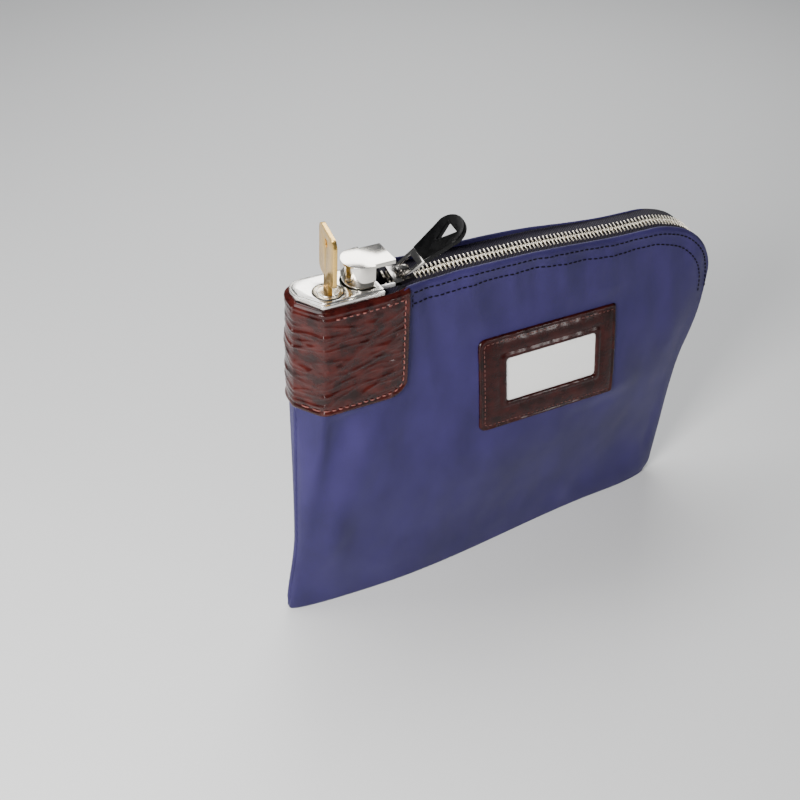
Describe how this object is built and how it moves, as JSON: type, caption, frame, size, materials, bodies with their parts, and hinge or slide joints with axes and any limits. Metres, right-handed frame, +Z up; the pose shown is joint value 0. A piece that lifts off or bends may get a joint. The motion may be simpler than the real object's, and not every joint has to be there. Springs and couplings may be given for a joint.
{
  "type": "cash deposit bag",
  "caption": "Upright nylon cash deposit bag with a zipper along its top, a pop-up key lock at one end, a leather lock patch and a name tag holder.",
  "frame": {"origin": "middle of the strip under the bag, on the surface that it stands on", "axes": "+X along the bag from the lock end to the closed end, -Y out of the front face with the name tag, +Z up"},
  "size_m": [0.2766, 0.04, 0.2525],
  "materials": {
    "navy_nylon": "three-ply woven nylon",
    "dark_binding": "woven binding tape",
    "oxblood_leather": "glossy wrinkled leather",
    "patch_thread": "sewing thread",
    "navy_thread": "sewing thread",
    "zipper_tape": "twill tape",
    "nickel_teeth": "nickel plated",
    "dark_chrome": "polished",
    "lock_chrome": "polished",
    "housing_metal": "plated die casting",
    "plug_brass": "nickel plated brass",
    "key_brass": "satin",
    "pin_brass": "turned",
    "spring_steel": "drawn wire",
    "black_grip": "glossy moulded",
    "clear_window": "clear vinyl",
    "card_white": "card"
  },
  "bodies": {
    "bag": {"front_panel": "navy_nylon", "back_panel": "navy_nylon", "bottom_strip": "navy_nylon", "left_binding": "dark_binding", "right_binding": "dark_binding", "lock_patch": "oxblood_leather", "patch_stitching": "patch_thread", "front_hem_stitching": "navy_thread", "back_hem_stitching": "navy_thread", "tag_stitching": "patch_thread", "front_corner_teeth": "nickel_teeth", "back_corner_teeth": "nickel_teeth", "front_corner_tape": "zipper_tape", "back_corner_tape": "zipper_tape", "lock_housing": "housing_metal", "face_plate": "lock_chrome", "slider_dock": "lock_chrome", "bottom_cover": "housing_metal", "driver_pins": "pin_brass", "pin_cover": "plug_brass", "pin_springs": "spring_steel", "head_spring": "spring_steel", "cross_pin": "spring_steel", "cover_screws": "spring_steel", "tag_frame": "oxblood_leather", "tag_window": "clear_window"},
    "plug": {"lock_plug": "plug_brass", "lock_cam": "housing_metal", "cam_screw": "spring_steel", "key_pins": "pin_brass"},
    "key": {"key": "key_brass"},
    "head": {"popup_head": "lock_chrome"},
    "slider": {"zipper_slider": "dark_chrome"},
    "pull": {"pull_link": "dark_chrome", "pull_grip": "black_grip"},
    "front_chain": {"front_teeth": "nickel_teeth", "front_tape": "zipper_tape"},
    "back_chain": {"back_teeth": "nickel_teeth", "back_tape": "zipper_tape"},
    "card": {"id_card": "card_white"}
  },
  "joints": [
    {"name": "plug_turn", "type": "hinge", "parent": "bag", "child": "plug", "pos_m": [-0.12, -0.0035, 0.2175], "axis": [0, 0, 1], "range_deg": [-30, 10]},
    {"name": "key_slide", "type": "slide", "parent": "plug", "child": "key", "axis": [0, 0, 1], "range_m": [0, 0.04], "deforming": ["key_pins"]},
    {"name": "head_pop", "type": "slide", "parent": "bag", "child": "head", "axis": [0, 0, 1], "range_m": [-0.0086, 0], "stiffness_N_per_m": 400, "springref_m": 0.005, "deforming": ["head_spring"]},
    {"name": "slider_slide", "type": "slide", "parent": "bag", "child": "slider", "axis": [0.9998, 0, -0.0218], "range_m": [-0.0038, 0.14]},
    {"name": "pull_swing", "type": "hinge", "parent": "slider", "child": "pull", "pos_m": [-0.0769, -0.00188, 0.21821], "axis": [0, 0.9848, 0.1736], "range_deg": [-58, 32]},
    {"name": "front_chain_open", "type": "hinge", "parent": "bag", "child": "front_chain", "pos_m": [0.072, -0.0005, 0.21015], "axis": [0.021, -0.2756, 0.961], "range_deg": [-0.07, 2.21], "deforming": ["front_teeth", "front_tape"]},
    {"name": "back_chain_open", "type": "hinge", "parent": "bag", "child": "back_chain", "pos_m": [0.072, -0.0005, 0.21015], "axis": [0.021, -0.2756, 0.961], "range_deg": [-2.21, 0.07], "deforming": ["back_teeth", "back_tape"]},
    {"name": "card_slide", "type": "slide", "parent": "bag", "child": "card", "axis": [1, 0, 0], "range_m": [0, 0.065], "deforming": ["id_card"]}
  ],
  "couplings": [
    {"joint": "front_chain_open", "follows": "slider_slide", "rad_per_m": 0.274},
    {"joint": "back_chain_open", "follows": "slider_slide", "rad_per_m": -0.274}
  ]
}
